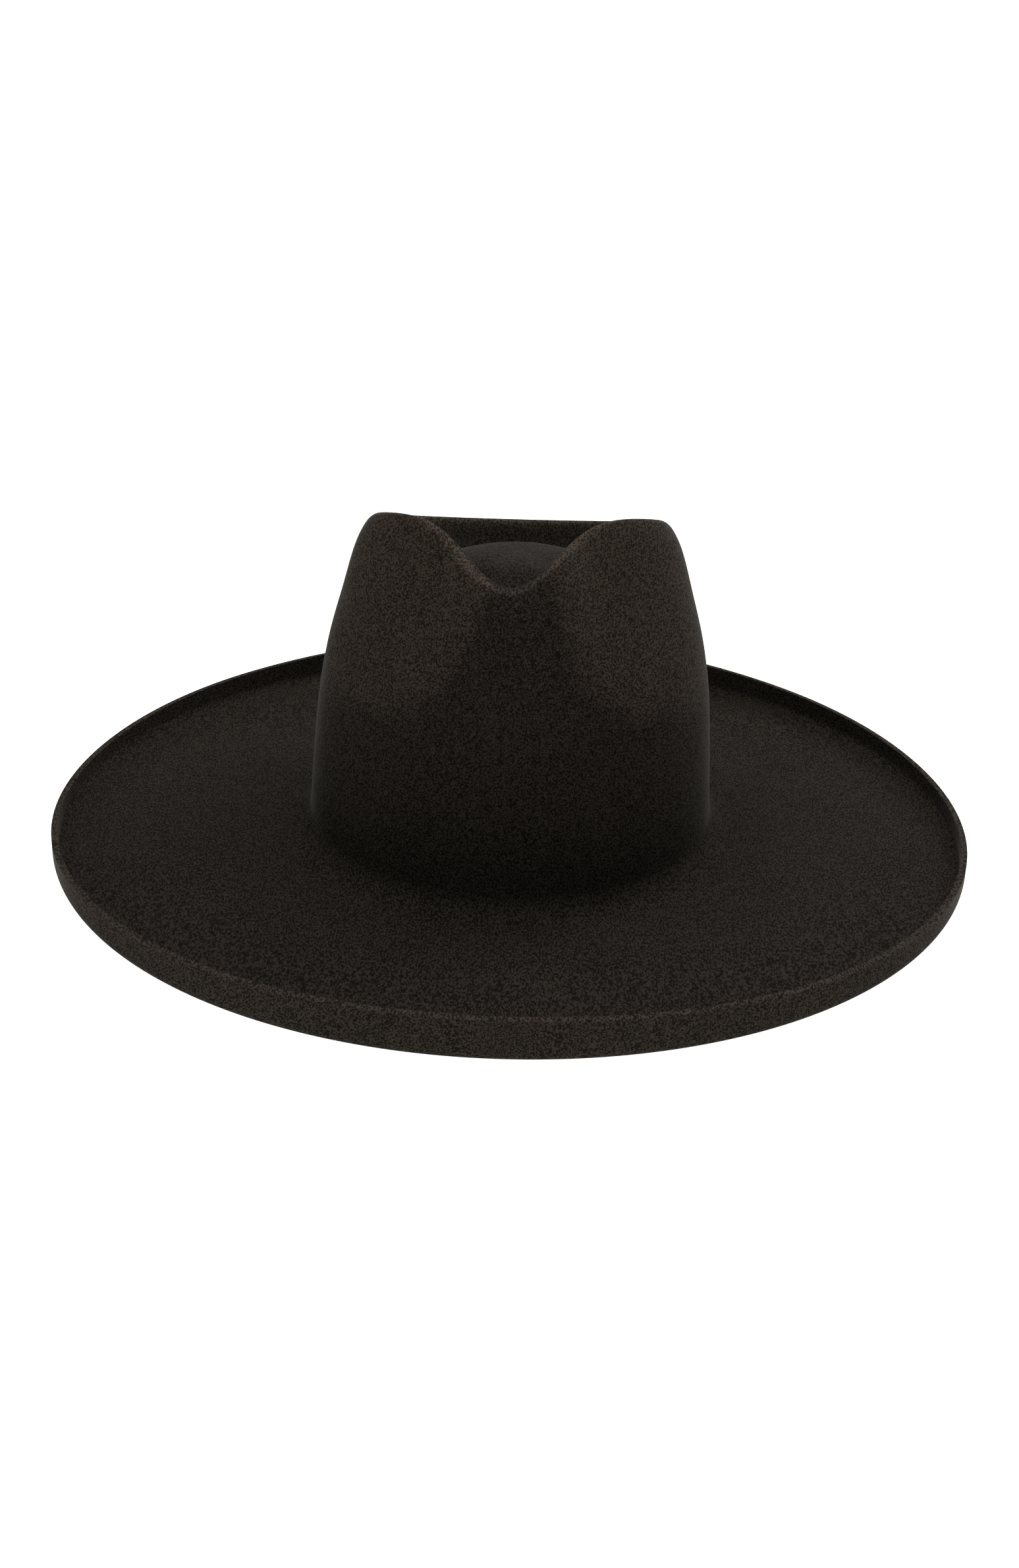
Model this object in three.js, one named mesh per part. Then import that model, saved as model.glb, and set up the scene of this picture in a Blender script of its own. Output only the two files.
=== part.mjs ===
// Wide-brim fedora
//
// One body of pressed wool felt: an oval crown, a raised tear-shaped dish in its top,
// a pinch at each side of its front, and a wide flat brim whose edge is turned up.
// Sizes are in millimetres, +Z is up, and the front of the hat faces -Y.
// The origin is under the middle of the crown, on the surface that the brim rests on.

import * as THREE from 'three';

const { clamp, degToRad, lerp, radToDeg, smoothstep } = THREE.MathUtils;

// The felt
const feltThickness = 2.6;
const feltColour = 0x201d19;

// The brim
const brimHalfWidth = 193.8;
const brimHalfLength = 209.5;
const edgeBendRadius = 5;
const flatRingWidth = 30;

// The crown
const crownHalfWidth = 86.4;
const crownHalfLength = 101;
const crownFootRadius = 9;

// The crown stands a little off upright, leaning towards +X between two heights.
const crownLean = 1;
const leanBottom = 15;
const leanTop = 110;

// The crest is the fold round the top of the crown. It rises towards the front,
// where a notch lets it down again.
const crestSlope = 0.262;
const notchDepth = 31.2;
const notchHalfWidth = 23.3;
const notchPower = 2.14;
const notchOffset = -3.2;

// The notch fades out on the way round to the back, between two cosines of the angle
// from the front.
const notchGone = -0.2;
const notchWhole = 0.4;

// How soft the fold is where a pinch begins, and how fast its line falls from the front.
const pinchSoftness = 7;
const pinchLinePower = 1.5;

// Facets. They lie closer together at the front of the hat than at its back.
const segmentsAround = 72;
const frontCrowding = 0.3;
const bendSteps = 4;
const footSteps = 3;
const brimRings = [0, 0.35, 0.7];

// The edge of the brim, in eight even steps round it from the front towards +X:
// how high its cut edge stands, and how far the brim under it is lifted off the surface.
const brimSections = [
  { place: 'front', edgeHeight: 17.3, lift: 0.6 },
  { place: 'front right', edgeHeight: 13.2, lift: 0.2 },
  { place: 'right', edgeHeight: 10.4, lift: 0 },
  { place: 'back right', edgeHeight: 13.6, lift: 0.4 },
  { place: 'back', edgeHeight: 18, lift: 2.2 },
  { place: 'back left', edgeHeight: 13.6, lift: 0.4 },
  { place: 'left', edgeHeight: 10.4, lift: 0 },
  { place: 'front left', edgeHeight: 14.4, lift: 0.2 },
];

// The crown, ring by ring from the foot of its wall, over the crest and into the dish:
// its height at the sides and its reach from the middle.
const crownRings = [
  { ring: 'wall foot', height: feltThickness + crownFootRadius, side: crownHalfWidth,
    front: crownHalfLength, back: crownHalfLength },
  { ring: 'low wall', height: 38, side: 84.6, front: 97.5, back: 99 },
  { ring: 'middle wall', height: 62, side: 82.4, front: 93.5, back: 95.5 },
  { ring: 'upper wall', height: 84, side: 78.6, front: 90, back: 91 },
  { ring: 'high wall', height: 104, side: 73, front: 87, back: 85 },
  { ring: 'under the crest', height: 120, side: 68.4, front: 84.5, back: 79 },
  { ring: 'shoulder', height: 129, side: 64.3, front: 83, back: 75 },
  { ring: 'outside of the crest', height: 133.3, side: 60.6, front: 80.3, back: 71.5 },
  { ring: 'crest', height: 134.3, side: 56.3, front: 76.5, back: 68 },
  { ring: 'inside of the crest', height: 131.8, side: 52, front: 72.5, back: 64 },
  { ring: 'dish wall', height: 124.5, side: 48, front: 67.5, back: 60 },
  { ring: 'foot of the dish wall', height: 117, side: 44.5, front: 62, back: 55 },
  { ring: 'valley', height: 114, side: 38.5, front: 54, back: 47.5 },
  { ring: 'rise of the dome', height: 118, side: 30, front: 42, back: 37 },
  { ring: 'dome', height: 120.5, side: 16, front: 22, back: 20 },
  { ring: 'top of the dome', height: 121, side: 0, front: 0, back: 0 },
];

// The same rings again: how much of the crest's slope, of the notch and, inside the crest,
// of the pinches each one takes, and how many steps of facets lead on to the next.
const crownFolds = [
  { ring: 'wall foot', slope: 0, notch: 0, pinch: 1, steps: 1 },
  { ring: 'low wall', slope: 0, notch: 0, pinch: 1, steps: 1 },
  { ring: 'middle wall', slope: 0.05, notch: 0.05, pinch: 1, steps: 1 },
  { ring: 'upper wall', slope: 0.2, notch: 0.2, pinch: 1, steps: 2 },
  { ring: 'high wall', slope: 0.5, notch: 0.5, pinch: 1, steps: 2 },
  { ring: 'under the crest', slope: 0.8, notch: 0.8, pinch: 1, steps: 2 },
  { ring: 'shoulder', slope: 0.95, notch: 0.95, pinch: 1, steps: 2 },
  { ring: 'outside of the crest', slope: 1, notch: 1, pinch: 1, steps: 2 },
  { ring: 'crest', slope: 1, notch: 1, pinch: 1, steps: 2 },
  { ring: 'inside of the crest', slope: 1, notch: 0.9, pinch: 0.98, steps: 2 },
  { ring: 'dish wall', slope: 0.9, notch: 0.65, pinch: 0.92, steps: 2 },
  { ring: 'foot of the dish wall', slope: 0.75, notch: 0.4, pinch: 0.82, steps: 2 },
  { ring: 'valley', slope: 0.6, notch: 0.2, pinch: 0.65, steps: 2 },
  { ring: 'rise of the dome', slope: 0.35, notch: 0.08, pinch: 0.4, steps: 1 },
  { ring: 'dome', slope: 0.1, notch: 0, pinch: 0.2, steps: 1 },
  { ring: 'top of the dome', slope: 0, notch: 0, pinch: 0, steps: 1 },
];

// Each pinch leans the wall in above a line. The line is at its high height at the edge
// angle and falls towards its low height round the side. The pinch deepens from the front
// to the full angle and fades out from the fade angle to the end. Angles are in degrees.
const pinches = [
  { side: 'right', sign: 1, edge: 11.8, full: 35, fade: 26, end: 97, low: 62, high: 120, lean: 0.285 },
  { side: 'left', sign: -1, edge: 11.8, full: 35, fade: 26, end: 89, low: 62, high: 120, lean: 0.275 },
];

const crestRing = crownRings.find((row) => row.ring === 'crest');

// An angle in radians brought to between -PI and PI, with 0 at the front.
function fromFront(angle) {
  return Math.atan2(Math.sin(angle), Math.cos(angle));
}

// A smooth curve through one column of a table, at a position counted in rows.
// A closed table runs on from its last row to its first.
function column(table, name, position, closed = false) {
  const last = table.length - 1;
  const row = closed ? Math.floor(position) : Math.min(Math.floor(position), last - 1);
  const part = position - row;
  const value = (index) => {
    const held = closed ? (index + 2 * table.length) % table.length : clamp(index, 0, last);
    return table[held][name];
  };
  const before = value(row - 1);
  const from = value(row);
  const to = value(row + 1);
  const after = value(row + 2);
  const slopeFrom = (to - before) / 2;
  const slopeTo = (after - from) / 2;
  return (
    from +
    slopeFrom * part +
    (3 * (to - from) - 2 * slopeFrom - slopeTo) * part ** 2 +
    (2 * (from - to) + slopeFrom + slopeTo) * part ** 3
  );
}

// A point of an oval whose front and back halves have their own reach.
function oval(side, front, back, angle) {
  const reach = Math.cos(angle) > 0 ? front : back;
  return new THREE.Vector2(side * Math.sin(angle), -reach * Math.cos(angle));
}

// A rise that starts gently: zero below zero, then a curve, then a straight slope.
function easedRise(height, softness) {
  if (height < softness) {
    return Math.max(height, 0) ** 2 / (2 * softness);
  }
  return height - softness / 2;
}

// How far the pinches press the wall in at an angle and a height.
function pinchDepth(angle, height) {
  let depth = 0;
  for (const pinch of pinches) {
    const along = radToDeg(fromFront(angle)) * pinch.sign;
    if (along > 1) {
      const fall = (pinch.edge / along) ** pinchLinePower;
      const line = lerp(pinch.low, pinch.high, fall);
      const share = smoothstep(along, 0, pinch.full) * (1 - smoothstep(along, pinch.fade, pinch.end));
      depth += pinch.lean * easedRise(height - line, pinchSoftness) * share;
    }
  }
  return depth;
}

// A plan point moved towards the middle by a distance.
function pressedIn(point, distance) {
  const length = point.length();
  return length > distance ? point.multiplyScalar(1 - distance / length) : point;
}

// The crest's place in plan before the pinches, and how far they press it in.
function crestPlan(angle) {
  const plan = oval(crestRing.side, crestRing.front, crestRing.back, angle);
  return { plan, depth: pinchDepth(angle, crestRing.height - crestSlope * plan.y) };
}

// How far the notch lets the crest down at a place in plan.
function notchDrop(plan, angle) {
  const isFront = smoothstep(Math.cos(angle), notchGone, notchWhole);
  const fromNotch = Math.abs(plan.x - notchOffset) / notchHalfWidth;
  return isFront * notchDepth * Math.exp(-(fromNotch ** notchPower));
}

// The outer face of the crown at a ring position and an angle. The wall outside the crest is
// pressed in by its own depth there, and the dish inside it narrows in step with the crest.
function crownPoint(position, angle) {
  const size = (name) => column(crownRings, name, position);
  const share = (name) => column(crownFolds, name, position);
  const whole = crestPlan(angle);
  const crest = pressedIn(whole.plan.clone(), whole.depth);
  const rise = -crestSlope * crest.y * share('slope') - notchDrop(crest, angle) * share('notch');
  const height = size('height') + rise;
  const plan = oval(size('side'), size('front'), size('back'), angle);
  if (position > crownRings.indexOf(crestRing)) {
    plan.multiplyScalar(1 - (share('pinch') * whole.depth) / whole.plan.length());
  } else {
    pressedIn(plan, pinchDepth(angle, height));
  }
  const lean = crownLean * smoothstep(height, leanBottom, leanTop);
  return new THREE.Vector3(plan.x + lean, plan.y, height);
}

// The upper face of the brim, at a distance in from its rim and a height.
function brimPoint(inset, height, angle) {
  const reach = brimHalfLength - inset;
  const plan = oval(brimHalfWidth - inset, reach, reach, angle);
  return new THREE.Vector3(plan.x, plan.y, height);
}

// One column of the brim's sections at an angle.
function brimColumn(name, angle) {
  const position = (fromFront(angle) / (2 * Math.PI) + 1) * brimSections.length;
  return Math.max(column(brimSections, name, position, true), 0);
}

// The upper face of the felt, piece by piece from the cut edge to the top of the dome.
const innerBend = edgeBendRadius - feltThickness;

function flange(part, angle) {
  const bendTop = brimColumn('lift', angle) + edgeBendRadius;
  const height = lerp(brimColumn('edgeHeight', angle), bendTop, part);
  return brimPoint(feltThickness, height, angle);
}

function bend(part, angle) {
  const turn = (part * Math.PI) / 2;
  const inset = feltThickness + innerBend * (1 - Math.cos(turn));
  const height = brimColumn('lift', angle) + feltThickness + innerBend * (1 - Math.sin(turn));
  return brimPoint(inset, height, angle);
}

function brim(part, angle) {
  const outer = brimPoint(edgeBendRadius, 0, angle);
  const inner = crownFoot(0, angle).setZ(0);
  const flatPart = flatRingWidth / outer.distanceTo(inner);
  const raised = brimColumn('lift', angle) * smoothstep(1 - part, flatPart, 1);
  return outer.lerp(inner, part).setZ(feltThickness + raised);
}

function crownFoot(part, angle) {
  const turn = (part * Math.PI) / 2;
  const out = crownFootRadius * (1 - Math.sin(turn));
  const plan = oval(crownHalfWidth + out, crownHalfLength + out, crownHalfLength + out, angle);
  return new THREE.Vector3(plan.x, plan.y, feltThickness + crownFootRadius * (1 - Math.cos(turn)));
}

function crown(part, angle) {
  return crownPoint(part * (crownRings.length - 1), angle);
}

// Where the rings of facets lie on each piece, as parts of the way along it.
function evenSteps(count) {
  return Array.from({ length: count }, (_, index) => index / count);
}

const crownParts = crownFolds
  .slice(0, -1)
  .flatMap((row, index) => evenSteps(row.steps).map((part) => (index + part) / (crownRings.length - 1)));

const pieces = [
  { face: flange, parts: [0] },
  { face: bend, parts: evenSteps(bendSteps) },
  { face: brim, parts: brimRings },
  { face: crownFoot, parts: evenSteps(footSteps) },
  { face: crown, parts: crownParts },
];

// The angle of a segment round the hat.
function segmentAngle(segment) {
  const even = degToRad((360 * segment) / segmentsAround);
  return even - frontCrowding * Math.sin(even);
}

// The outward direction of a face, from the directions along and round it.
function outward(face, part, angle) {
  const reach = 1e-4;
  const low = Math.max(part - reach, 0);
  const high = Math.min(part + reach, 1);
  const along = face(high, angle).sub(face(low, angle));
  const round = face(part, angle + reach).sub(face(part, angle - reach));
  return round.cross(along).normalize();
}

// The felt as one closed mesh: rings of its upper face, the same rings a felt's thickness
// behind them, a pole to close each face, and the cut edge between the first rings.
function feltGeometry() {
  const upper = [];
  const lower = [];
  for (const { face, parts } of pieces) {
    for (const part of parts) {
      for (let segment = 0; segment < segmentsAround; segment += 1) {
        const angle = segmentAngle(segment);
        const point = face(part, angle);
        upper.push(point);
        lower.push(point.clone().addScaledVector(outward(face, part, angle), -feltThickness));
      }
    }
  }
  const top = crownPoint(crownRings.length - 1, 0);
  const underTop = top.clone().setZ(top.z - feltThickness);
  const points = [...upper, ...lower, top, underTop];

  const rings = upper.length / segmentsAround;
  const upperIndex = (ring, segment) => ring * segmentsAround + (segment % segmentsAround);
  const lowerIndex = (ring, segment) => upperIndex(ring + rings, segment);
  const topIndex = upper.length + lower.length;
  const indices = [];
  for (let segment = 0; segment < segmentsAround; segment += 1) {
    const next = segment + 1;
    for (let ring = 0; ring + 1 < rings; ring += 1) {
      const [a, b] = [upperIndex(ring, segment), upperIndex(ring, next)];
      const [c, d] = [upperIndex(ring + 1, next), upperIndex(ring + 1, segment)];
      indices.push(a, b, c, a, c, d);
      const [e, f] = [lowerIndex(ring, segment), lowerIndex(ring, next)];
      const [g, h] = [lowerIndex(ring + 1, next), lowerIndex(ring + 1, segment)];
      indices.push(e, g, f, e, h, g);
    }
    indices.push(upperIndex(rings - 1, segment), upperIndex(rings - 1, next), topIndex);
    indices.push(lowerIndex(rings - 1, next), lowerIndex(rings - 1, segment), topIndex + 1);
    const [under, underNext] = [lowerIndex(0, segment), lowerIndex(0, next)];
    const [edge, edgeNext] = [upperIndex(0, segment), upperIndex(0, next)];
    indices.push(under, underNext, edgeNext, under, edgeNext, edge);
  }
  const positions = points.flatMap((point) => point.toArray());
  const geometry = new THREE.BufferGeometry();
  geometry.setAttribute('position', new THREE.Float32BufferAttribute(positions, 3));
  geometry.setIndex(indices);
  geometry.computeVertexNormals();
  return geometry;
}

const felt = new THREE.MeshStandardMaterial({ color: feltColour, roughness: 0.95, metalness: 0 });
const feltBody = new THREE.Mesh(feltGeometry(), felt);
feltBody.name = 'felt_body';

const fedora = new THREE.Group();
fedora.add(feltBody);

export default fedora;
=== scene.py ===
import math

import bpy
from mathutils import Matrix, Vector


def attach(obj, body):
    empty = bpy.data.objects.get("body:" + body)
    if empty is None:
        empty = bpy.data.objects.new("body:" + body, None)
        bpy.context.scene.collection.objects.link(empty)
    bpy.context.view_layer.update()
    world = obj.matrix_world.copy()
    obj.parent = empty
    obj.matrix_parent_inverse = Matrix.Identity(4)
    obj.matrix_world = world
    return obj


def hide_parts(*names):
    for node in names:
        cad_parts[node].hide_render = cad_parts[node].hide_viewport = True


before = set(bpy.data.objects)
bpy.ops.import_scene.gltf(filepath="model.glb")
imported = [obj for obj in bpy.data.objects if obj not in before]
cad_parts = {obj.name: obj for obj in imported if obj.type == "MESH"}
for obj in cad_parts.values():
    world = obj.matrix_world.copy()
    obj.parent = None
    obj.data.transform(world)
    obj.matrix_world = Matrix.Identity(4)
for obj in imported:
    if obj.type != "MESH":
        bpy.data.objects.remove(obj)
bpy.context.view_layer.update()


# The camera
# It looks at the hat's front from a little above, near enough for the front of the brim
# to look wider than the back, and it is tipped slightly to the left.
sensor_long_side = 36.0
camera_distance = 0.7692
camera_elevation = math.radians(22.03)
camera_tip = math.radians(1.562)
aim_point = Vector((-0.00056, 0.0, 0.01564))
camera_lens = 40.54

away = Vector((0.0, -math.cos(camera_elevation), math.sin(camera_elevation)))
level = Vector((1.0, 0.0, 0.0))
upright = away.cross(level)
across = level * math.cos(camera_tip) + upright * math.sin(camera_tip)
upward = upright * math.cos(camera_tip) - level * math.sin(camera_tip)
camera_data = bpy.data.cameras.new("camera")
camera_data.lens = camera_lens
camera_data.sensor_width = sensor_long_side
camera = bpy.data.objects.new("camera", camera_data)
turned = Matrix((across, upward, away)).transposed()
camera.matrix_world = Matrix.Translation(aim_point + away * camera_distance) @ turned.to_4x4()
bpy.context.scene.collection.objects.link(camera)
bpy.context.scene.camera = camera


# The studio
# A white table lit softly from below and a white wall far behind, under one wide soft lamp,
# with a weaker soft lamp behind the hat at the right and another low at its left.
floor_size = 14.0
floor_white = (0.6, 0.6, 0.6, 1.0)
floor_glow = 1.2
wall_place = (0.0, 6.5, 1.5)
wall_size = (14.0, 3.0)
wall_glow = 1.1
room_light = 0.3
lamps = [
    {"name": "overhead_lamp", "size": 1.6, "place": (0.0, 0.1, 1.3), "watts": 18.0},
    {"name": "right_lamp", "size": 0.5, "place": (0.75, 0.65, 0.5), "watts": 5.0},
    {"name": "left_lamp", "size": 0.5, "place": (-0.9, -0.3, 0.2), "watts": 0.7},
]


def plain_white(name, colour, glow):
    paint = bpy.data.materials.new(name)
    paint.use_nodes = True
    sockets = paint.node_tree.nodes["Principled BSDF"].inputs
    sockets["Base Color"].default_value = colour
    sockets["Roughness"].default_value = 1.0
    sockets["Specular IOR Level"].default_value = 0.0
    sockets["Emission Color"].default_value = (1.0, 1.0, 1.0, 1.0)
    sockets["Emission Strength"].default_value = glow
    return paint


bpy.ops.object.select_all(action="DESELECT")
bpy.ops.mesh.primitive_plane_add(size=floor_size)
floor = bpy.context.active_object
floor.name = "floor"
floor.data.materials.append(plain_white("white_table", floor_white, floor_glow))

bpy.ops.object.select_all(action="DESELECT")
bpy.ops.mesh.primitive_plane_add(size=1.0, location=wall_place, rotation=(math.radians(90.0), 0.0, 0.0))
backdrop = bpy.context.active_object
backdrop.name = "backdrop"
backdrop.scale = (wall_size[0], wall_size[1], 1.0)
backdrop.data.materials.append(plain_white("white_wall", floor_white, wall_glow))

room = bpy.data.worlds.new("room")
room.use_nodes = True
room.node_tree.nodes["Background"].inputs["Color"].default_value = (1.0, 1.0, 1.0, 1.0)
room.node_tree.nodes["Background"].inputs["Strength"].default_value = room_light
bpy.context.scene.world = room
bpy.context.scene.view_settings.view_transform = "Standard"

for lamp in lamps:
    lamp_data = bpy.data.lights.new(lamp["name"], "AREA")
    lamp_data.size = lamp["size"]
    lamp_data.energy = lamp["watts"]
    soft_lamp = bpy.data.objects.new(lamp["name"], lamp_data)
    soft_lamp.location = lamp["place"]
    soft_lamp.rotation_mode = "QUATERNION"
    soft_lamp.rotation_quaternion = (-Vector(lamp["place"])).to_track_quat("-Z", "Y")
    bpy.context.scene.collection.objects.link(soft_lamp)


# The hat
# One sheet of pressed wool felt with nothing sewn on it. A cone of felt is steamed over an
# oval block, its brim is pressed flat and its edge turned up, and then the tear-shaped dish,
# the notch and the two pinches are pressed into the crown by hand.
segments_around = 144
rings_on = {"flange": 6, "bend": 6, "brim": 12, "foot": 8, "crown": 46}
cone_radius = 0.2
cone_step = 0.001

# The felt cone: rings of faces drawn up from a circle, each a step higher, closed at the tip.
ring_count = sum(rings_on.values())
bpy.ops.object.select_all(action="DESELECT")
bpy.ops.mesh.primitive_circle_add(vertices=segments_around, radius=cone_radius, fill_type="NOTHING")
hat = bpy.context.active_object
hat.name = "felt_hat"
bpy.ops.object.mode_set(mode="EDIT")
bpy.ops.mesh.select_all(action="SELECT")
for ring in range(1, ring_count):
    bpy.ops.mesh.extrude_edges_move(TRANSFORM_OT_translate={"value": (0.0, 0.0, cone_step)})
    shrink = (ring_count - ring) / (ring_count - ring + 1)
    bpy.ops.transform.resize(value=(shrink, shrink, 1.0), center_override=(0.0, 0.0, 0.0))
bpy.ops.mesh.extrude_edges_move(TRANSFORM_OT_translate={"value": (0.0, 0.0, cone_step)})
bpy.ops.mesh.merge(type="CENTER")
bpy.ops.mesh.select_all(action="SELECT")
bpy.ops.mesh.normals_make_consistent(inside=False)
bpy.ops.object.mode_set(mode="OBJECT")

# The pressed hat's sizes, in millimetres.
metres_per_mm = 0.001
felt_thickness = 2.6
brim_half_width = 193.8
brim_half_length = 209.5
edge_bend_radius = 5.0
flat_ring_width = 30.0
crown_half_width = 86.4
crown_half_length = 101.0
crown_foot_radius = 9.0
wall_foot = felt_thickness + crown_foot_radius

# The crown stands a little off upright, leaning towards +X between two heights.
crown_lean = 1.0
lean_bottom = 15.0
lean_top = 110.0

# The crest rises towards the front, where the notch lets it down again. The notch fades out
# on the way round to the back, between two cosines of the angle from the front.
crest_slope = 0.262
notch_depth = 31.2
notch_half_width = 23.3
notch_power = 2.14
notch_offset = -3.2
notch_gone = -0.2
notch_whole = 0.4

# How soft the fold is where a pinch begins, how fast its line falls from the front, and how
# many degrees round from the front it starts.
pinch_softness = 7.0
pinch_line_power = 1.5
pinch_start = 1.0

# The flange's rings lie closer together at the cut edge, which is rounded off a little.
edge_crowding = 1.6
edge_round = 0.5

# The edge of the brim in eight even steps from the front towards +X.
brim_sections = [
    {"place": "front", "edge_height": 17.3, "lift": 0.6},
    {"place": "front right", "edge_height": 13.2, "lift": 0.2},
    {"place": "right", "edge_height": 10.4, "lift": 0.0},
    {"place": "back right", "edge_height": 13.6, "lift": 0.4},
    {"place": "back", "edge_height": 18.0, "lift": 2.2},
    {"place": "back left", "edge_height": 13.6, "lift": 0.4},
    {"place": "left", "edge_height": 10.4, "lift": 0.0},
    {"place": "front left", "edge_height": 14.4, "lift": 0.2},
]

# The crown, ring by ring from the foot of its wall, over the crest and into the dish: its
# height at the sides, its reach from the middle, and its share of each fold.
crown_columns = ("height", "side", "front", "back", "slope", "notch", "pinch")
crown_rings = [
    ("wall foot", wall_foot, crown_half_width, crown_half_length, crown_half_length, 0.0, 0.0, 1.0),
    ("low wall", 38.0, 84.6, 97.5, 99.0, 0.0, 0.0, 1.0),
    ("middle wall", 62.0, 82.4, 93.5, 95.5, 0.05, 0.05, 1.0),
    ("upper wall", 84.0, 78.6, 90.0, 91.0, 0.2, 0.2, 1.0),
    ("high wall", 104.0, 73.0, 87.0, 85.0, 0.5, 0.5, 1.0),
    ("under the crest", 120.0, 68.4, 84.5, 79.0, 0.8, 0.8, 1.0),
    ("shoulder", 129.0, 64.3, 83.0, 75.0, 0.95, 0.95, 1.0),
    ("outside of the crest", 133.3, 60.6, 80.3, 71.5, 1.0, 1.0, 1.0),
    ("crest", 134.3, 56.3, 76.5, 68.0, 1.0, 1.0, 1.0),
    ("inside of the crest", 131.8, 52.0, 72.5, 64.0, 1.0, 0.9, 0.98),
    ("dish wall", 124.5, 48.0, 67.5, 60.0, 0.9, 0.65, 0.92),
    ("foot of the dish wall", 117.0, 44.5, 62.0, 55.0, 0.75, 0.4, 0.82),
    ("valley", 114.0, 38.5, 54.0, 47.5, 0.6, 0.2, 0.65),
    ("rise of the dome", 118.0, 30.0, 42.0, 37.0, 0.35, 0.08, 0.4),
    ("dome", 120.5, 16.0, 22.0, 20.0, 0.1, 0.0, 0.2),
    ("top of the dome", 121.0, 0.0, 0.0, 0.0, 0.0, 0.0, 0.0),
]
crown_rows = [dict(zip(crown_columns, row[1:])) for row in crown_rings]
ring_names = [row[0] for row in crown_rings]
crest_row = crown_rows[ring_names.index("crest")]

# Each pinch leans the wall in above a line. The line is at its high height at the edge angle
# and falls towards its low height round the side. The pinch deepens from the front to the
# full angle and fades out from the fade angle to the end. Angles are in degrees.
pinches = [
    {"sign": 1, "edge": 11.8, "full": 35, "fade": 26, "end": 97, "low": 62, "high": 120, "lean": 0.285},
    {"sign": -1, "edge": 11.8, "full": 35, "fade": 26, "end": 89, "low": 62, "high": 120, "lean": 0.275},
]


def smooth_step(value, low, high):
    part = min(max((value - low) / (high - low), 0.0), 1.0)
    return part * part * (3.0 - 2.0 * part)


def column(table, name, position, closed=False):
    """A smooth curve through one column of a table, at a position counted in rows."""
    last = len(table) - 1
    row = math.floor(position) if closed else min(math.floor(position), last - 1)
    part = position - row
    held = [i % len(table) if closed else min(max(i, 0), last) for i in range(row - 1, row + 3)]
    before, start, end, after = (table[i][name] for i in held)
    slope_in = (end - before) / 2.0
    slope_out = (after - start) / 2.0
    bow = 3.0 * (end - start) - 2.0 * slope_in - slope_out
    twist = 2.0 * (start - end) + slope_in + slope_out
    return start + slope_in * part + bow * part**2 + twist * part**3


def from_front(angle):
    """An angle brought to between -pi and pi, with 0 at the front of the hat."""
    return math.atan2(math.sin(angle), math.cos(angle))


def oval(side, front, back, angle):
    reach = front if math.cos(angle) > 0.0 else back
    return Vector((side * math.sin(angle), -reach * math.cos(angle)))


def eased_rise(height, softness):
    """Height above nothing, with the corner at zero rounded off."""
    if height < softness:
        return max(height, 0.0) ** 2 / (2.0 * softness)
    return height - softness / 2.0


def pinch_line(pinch, along):
    """The height at which a pinch begins, this many degrees round from the front."""
    return pinch["low"] + (pinch["high"] - pinch["low"]) * (pinch["edge"] / along) ** pinch_line_power


def pinch_depth(angle, height):
    depth = 0.0
    for pinch in pinches:
        along = math.degrees(from_front(angle)) * pinch["sign"]
        if along > pinch_start:
            fade = 1.0 - smooth_step(along, pinch["fade"], pinch["end"])
            fade *= smooth_step(along, 0.0, pinch["full"])
            over = height - pinch_line(pinch, along)
            depth += pinch["lean"] * eased_rise(over, pinch_softness) * fade
    return depth


def pressed_in(plan, distance):
    return plan * (1.0 - distance / plan.length) if plan.length > distance else plan


def crest_plan(angle):
    """Where the crest would run in plan, and the distance that the pinches press it in."""
    plan = oval(crest_row["side"], crest_row["front"], crest_row["back"], angle)
    return plan, pinch_depth(angle, crest_row["height"] - crest_slope * plan.y)


def notch_drop(plan, angle):
    from_notch = abs(plan.x - notch_offset) / notch_half_width
    is_front = smooth_step(math.cos(angle), notch_gone, notch_whole)
    return is_front * notch_depth * math.exp(-from_notch**notch_power)


def crown_place(part, angle):
    position = part * (len(crown_rows) - 1)
    at = {name: column(crown_rows, name, position) for name in crown_columns}
    whole, depth = crest_plan(angle)
    crest = pressed_in(whole, depth)
    rise = -at["slope"] * crest_slope * crest.y - at["notch"] * notch_drop(crest, angle)
    height = at["height"] + rise
    plan = oval(at["side"], at["front"], at["back"], angle)
    if position > crown_rows.index(crest_row):
        plan = plan * (1.0 - at["pinch"] * depth / whole.length)
    else:
        plan = pressed_in(plan, pinch_depth(angle, height))
    lean = crown_lean * smooth_step(height, lean_bottom, lean_top)
    return Vector((plan.x + lean, plan.y, height))


def brim_column(name, angle):
    position = (from_front(angle) / (2.0 * math.pi) + 1.0) * len(brim_sections)
    return max(column(brim_sections, name, position, closed=True), 0.0)


def brim_place(inset, height, angle):
    reach = brim_half_length - inset
    plan = oval(brim_half_width - inset, reach, reach, angle)
    return Vector((plan.x, plan.y, height))


def flange_place(along, angle):
    part = along**edge_crowding
    bend_top = brim_column("lift", angle) + edge_bend_radius
    height = brim_column("edge_height", angle) * (1.0 - part) + bend_top * part
    return brim_place(felt_thickness, height, angle)


def bend_place(part, angle):
    inner = edge_bend_radius - felt_thickness
    turn = part * math.pi / 2.0
    height = brim_column("lift", angle) + felt_thickness + inner * (1.0 - math.sin(turn))
    return brim_place(felt_thickness + inner * (1.0 - math.cos(turn)), height, angle)


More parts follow.
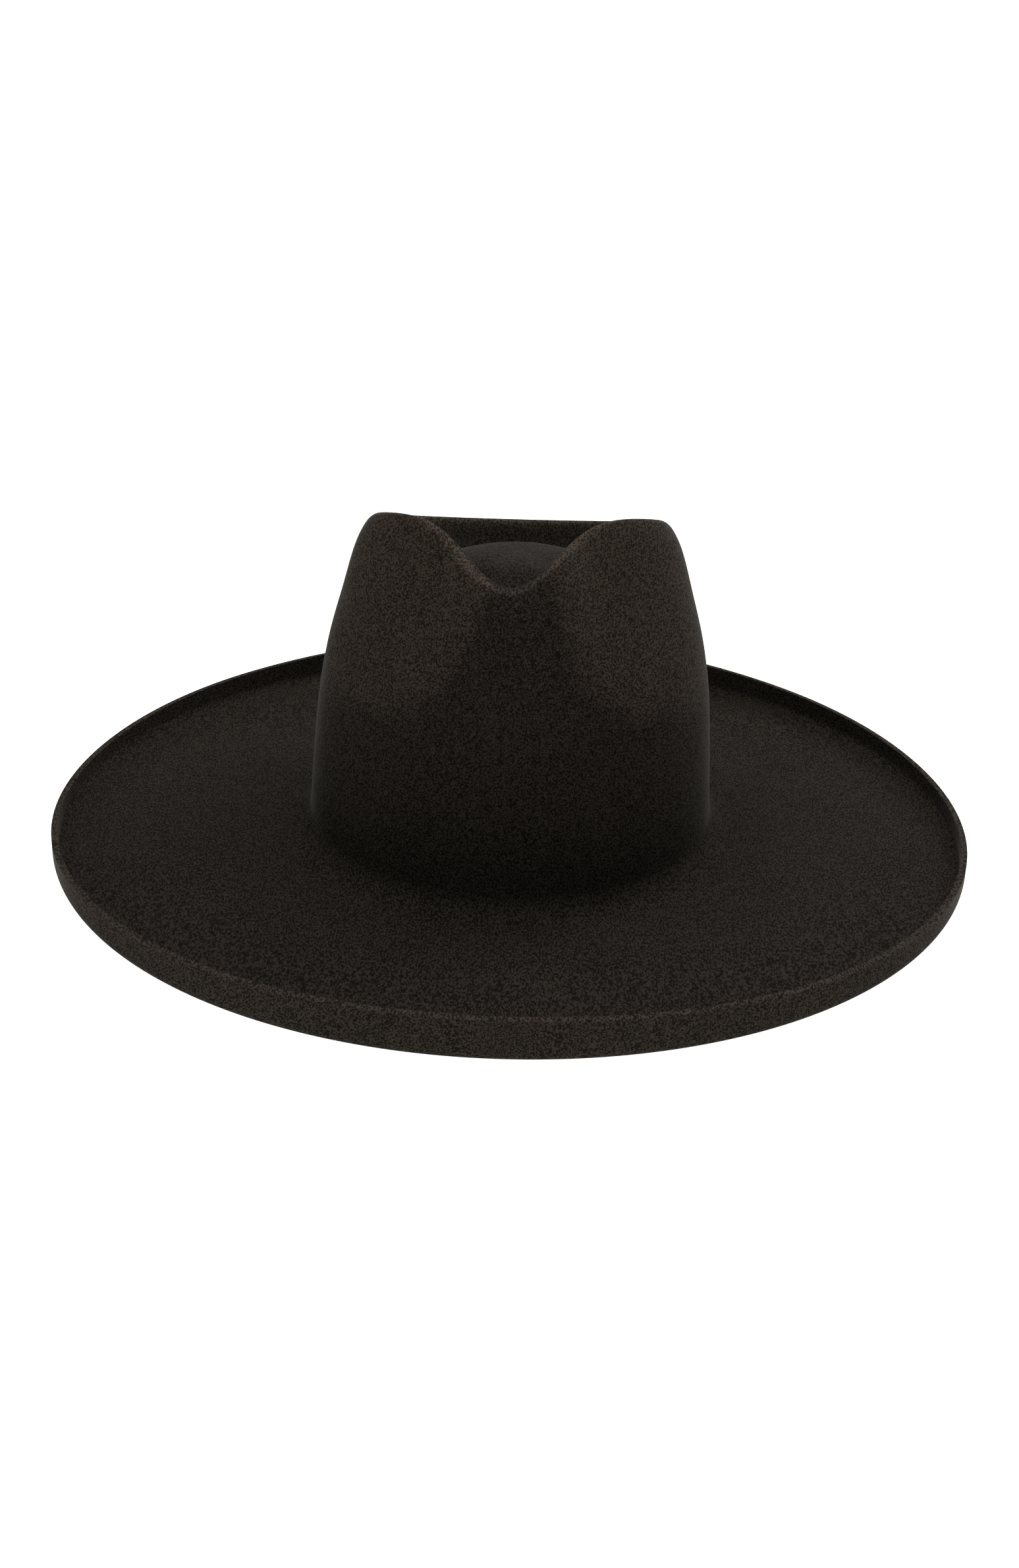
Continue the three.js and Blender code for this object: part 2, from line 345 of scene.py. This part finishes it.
def flat_place(part, angle):
    outer = brim_place(edge_bend_radius, 0.0, angle)
    reach = crown_half_length + crown_foot_radius
    plan = oval(crown_half_width + crown_foot_radius, reach, reach, angle)
    inner = Vector((plan.x, plan.y, 0.0))
    flat_part = flat_ring_width / (outer - inner).length
    raised = brim_column("lift", angle) * smooth_step(1.0 - part, flat_part, 1.0)
    place = outer.lerp(inner, part)
    place.z = felt_thickness + raised
    return place


def foot_place(part, angle):
    turn = part * math.pi / 2.0
    out = crown_foot_radius * (1.0 - math.sin(turn))
    reach = crown_half_length + out
    plan = oval(crown_half_width + out, reach, reach, angle)
    height = felt_thickness + crown_foot_radius * (1.0 - math.cos(turn))
    return Vector((plan.x, plan.y, height))


ring_places = []
shapes = {
    "flange": flange_place,
    "bend": bend_place,
    "brim": flat_place,
    "foot": foot_place,
    "crown": crown_place,
}
for form, place in shapes.items():
    ring_places += [(place, ring / rings_on[form]) for ring in range(rings_on[form])]
ring_places.append((crown_place, 1.0))

# Painted light, as two marks from 0 to 1 on the mesh. A painted highlight lies above each
# pinch's line, as far as the crest, as if the pinched facets caught more of the overhead lamp.
# A painted sheen lies just inside the crest, behind the dome, and along the cut edge and the
# flange under it. Parts are shares of the crown's or a form's rings.
pinch_light_from = -2.0
pinch_light_to = 6.0
crest_part = ring_names.index("crest") / (len(crown_rings) - 1)
dome_part = ring_names.index("rise of the dome") / (len(crown_rings) - 1)
pinch_light_fade_from = 0.5
pinch_light_fade_to = 0.6
crest_sheen_middle = crest_part + 0.008
crest_sheen_width = 0.024
dome_sheen_width = 0.03
edge_sheen_width = 0.2
edge_sheen = 0.7
flange_sheen = 0.25


# Painted highlight on the pinched facets: from 0 to 1, rising above each pinch's line and fading out
# around the crest.
def painted_pinch_light_mark(place, part, angle, height):
    if place is not crown_place:
        return 0.0
    mark = 0.0
    for pinch in pinches:
        along = math.degrees(from_front(angle)) * pinch["sign"]
        if along > pinch_start:
            mark += smooth_step(height - pinch_line(pinch, along), pinch_light_from, pinch_light_to)
    return mark * (1.0 - smooth_step(part, pinch_light_fade_from, pinch_light_fade_to))


# Painted sheen: a band just inside the crest, a band at the back of the dome's rim, and the cut edge and
# flange, lightest at the cut edge.
def painted_sheen_mark(place, part, angle):
    if place is crown_place:
        at_crest = math.exp(-(((part - crest_sheen_middle) / crest_sheen_width) ** 2))
        at_dome = math.exp(-(((part - dome_part) / dome_sheen_width) ** 2))
        return at_crest + at_dome * max(-math.cos(angle), 0.0)
    if place is flange_place:
        return edge_sheen - (edge_sheen - flange_sheen) * smooth_step(part, 0.0, edge_sheen_width)
    if place is bend_place:
        return flange_sheen * (1.0 - part)
    return 0.0


# Two marks of painted light on the mesh: a painted highlight on the pinched facets, and a painted sheen
# along the crest, the dome's rim, the cut edge and the flange.
painted_pinch_light = hat.data.attributes.new("painted_pinch_light", "FLOAT", "POINT")
painted_sheen = hat.data.attributes.new("painted_sheen", "FLOAT", "POINT")
for vertex in hat.data.vertices:
    ring = round(vertex.co.z / cone_step)
    angle = math.atan2(vertex.co.x, -vertex.co.y)
    place, part = ring_places[ring]
    point = place(part, angle)
    vertex.co = point * metres_per_mm
    painted_pinch_light.data[vertex.index].value = painted_pinch_light_mark(place, part, angle, point.z)
    painted_sheen.data[vertex.index].value = painted_sheen_mark(place, part, angle)

# The sheet gets its thickness downwards, and its cut edge is rounded.
wall = hat.modifiers.new("felt_wall", "SOLIDIFY")
wall.thickness = felt_thickness * metres_per_mm
wall.offset = -1.0
wall.use_even_offset = False
wall.use_quality_normals = True
cut_edge = hat.modifiers.new("cut_edge", "BEVEL")
cut_edge.width = edge_round * metres_per_mm
cut_edge.segments = 2
cut_edge.limit_method = "ANGLE"
cut_edge.angle_limit = math.radians(60)
smooth = hat.modifiers.new("smooth", "SUBSURF")
smooth.levels = 1
smooth.render_levels = 1
bpy.ops.object.select_all(action="DESELECT")
hat.select_set(True)
bpy.context.view_layer.objects.active = hat
for modifier in ("felt_wall", "cut_edge", "smooth"):
    bpy.ops.object.modifier_apply(modifier=modifier)
bpy.ops.object.shade_smooth()


class Wire:
    """An output of a material's node. Arithmetic on wires adds Math nodes."""

    def __init__(self, tree, output):
        self.tree = tree
        self.output = output

    @staticmethod
    def node(tree, kind, settings=None, sockets=None, output=0):
        made = tree.nodes.new(kind)
        for name, value in (settings or {}).items():
            setattr(made, name, value)
        for name, value in (sockets or {}).items():
            if isinstance(value, Wire):
                tree.links.new(value.output, made.inputs[name])
            else:
                made.inputs[name].default_value = value
        return Wire(tree, made.outputs[output])

    def maths(self, operation, first, second):
        return Wire.node(self.tree, "ShaderNodeMath", {"operation": operation}, {0: first, 1: second})

    def __add__(self, other):
        return self.maths("ADD", self, other)

    def __radd__(self, other):
        return self.maths("ADD", other, self)

    def __sub__(self, other):
        return self.maths("SUBTRACT", self, other)

    def __rsub__(self, other):
        return self.maths("SUBTRACT", other, self)

    def __mul__(self, other):
        return self.maths("MULTIPLY", self, other)

    def __rmul__(self, other):
        return self.maths("MULTIPLY", other, self)


# Very dark brown wool, matte, with a fine uneven grain drawn out from front to back, the way
# the hat is brushed. Its colour is painted lighter on the pinched facets, a painted highlight,
# and along the crest, the dome's rim, the cut edge and the flange, a painted sheen. The sheen
# of the felt catches light where the surface turns away.
felt_dark = (0.0060, 0.0050, 0.0036, 1.0)
felt_light = (0.0252, 0.0212, 0.0172, 1.0)
# Painted highlight: the colour on the pinched facets is multiplied by this.
pinch_light_tint = (1.46, 1.38, 1.33, 1.0)
# Painted sheen: the colour along the crest, the dome's rim, the cut edge and the flange is multiplied by
# this.
painted_sheen_tint = (2.1, 2.0, 1.95, 1.0)
tone_contrast = 9.0
grain_share = 0.85
clump_share = 0.08
cloud_share = 0.07
grain_comb = (1.0, 0.4, 1.0)
felt_roughness = 0.95
felt_specular = 0.02
relief_depth = 0.0006
relief_strength = 0.6
relief_grain = 0.6
relief_clumps = 0.4
nap_sheen = 0.1
nap_sheen_roughness = 0.2
nap_tint = (1.0, 0.95, 0.87, 1.0)

felt = bpy.data.materials.new("brown_felt")
felt.use_nodes = True
tree = felt.node_tree
shader = tree.nodes["Principled BSDF"]
spot = Wire.node(tree, "ShaderNodeTexCoord", output="Object")
combed = Wire.node(tree, "ShaderNodeVectorMath", {"operation": "MULTIPLY"}, {0: spot, 1: grain_comb})


def mottle(vector, scale, detail, roughness):
    sockets = {"Vector": vector, "Scale": scale, "Detail": detail, "Roughness": roughness}
    return Wire.node(tree, "ShaderNodeTexNoise", {}, sockets)


def mixed(factor, first, second, blend="MIX"):
    """Two colours mixed. A Mix node's colours are its sockets 6 and 7, and its output 2."""
    settings = {"data_type": "RGBA", "blend_type": blend}
    return Wire.node(tree, "ShaderNodeMix", settings, {"Factor": factor, 6: first, 7: second}, output=2)


grain = mottle(combed, scale=1600.0, detail=1.0, roughness=0.5)
clumps = mottle(spot, scale=260.0, detail=3.0, roughness=0.6)
clouds = mottle(spot, scale=22.0, detail=3.0, roughness=0.55)
tone = grain_share * grain + clump_share * clumps + cloud_share * clouds
colour = mixed((tone - 0.5) * tone_contrast + 0.5, felt_dark, felt_light)
# Painted highlight on the pinched facets, read from the mesh.
pinch_light = Wire.node(tree, "ShaderNodeAttribute", {"attribute_name": "painted_pinch_light"}, output="Fac")
# Painted sheen along the crest, the back of the dome's rim, the cut edge and the flange, read from the
# mesh.
raised = Wire.node(tree, "ShaderNodeAttribute", {"attribute_name": "painted_sheen"}, output="Fac")
colour = mixed(pinch_light, colour, pinch_light_tint, "MULTIPLY")
colour = mixed(raised, colour, painted_sheen_tint, "MULTIPLY")
tree.links.new(colour.output, shader.inputs["Base Color"])
relief = relief_grain * grain + relief_clumps * clumps
bump_sockets = {"Height": relief, "Strength": relief_strength, "Distance": relief_depth}
bump = Wire.node(tree, "ShaderNodeBump", {}, bump_sockets)
tree.links.new(bump.output, shader.inputs["Normal"])
shader.inputs["Roughness"].default_value = felt_roughness
shader.inputs["Specular IOR Level"].default_value = felt_specular
shader.inputs["Sheen Weight"].default_value = nap_sheen
shader.inputs["Sheen Roughness"].default_value = nap_sheen_roughness
shader.inputs["Sheen Tint"].default_value = nap_tint
hat.data.materials.append(felt)

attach(hat, "root")
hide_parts("felt_body")
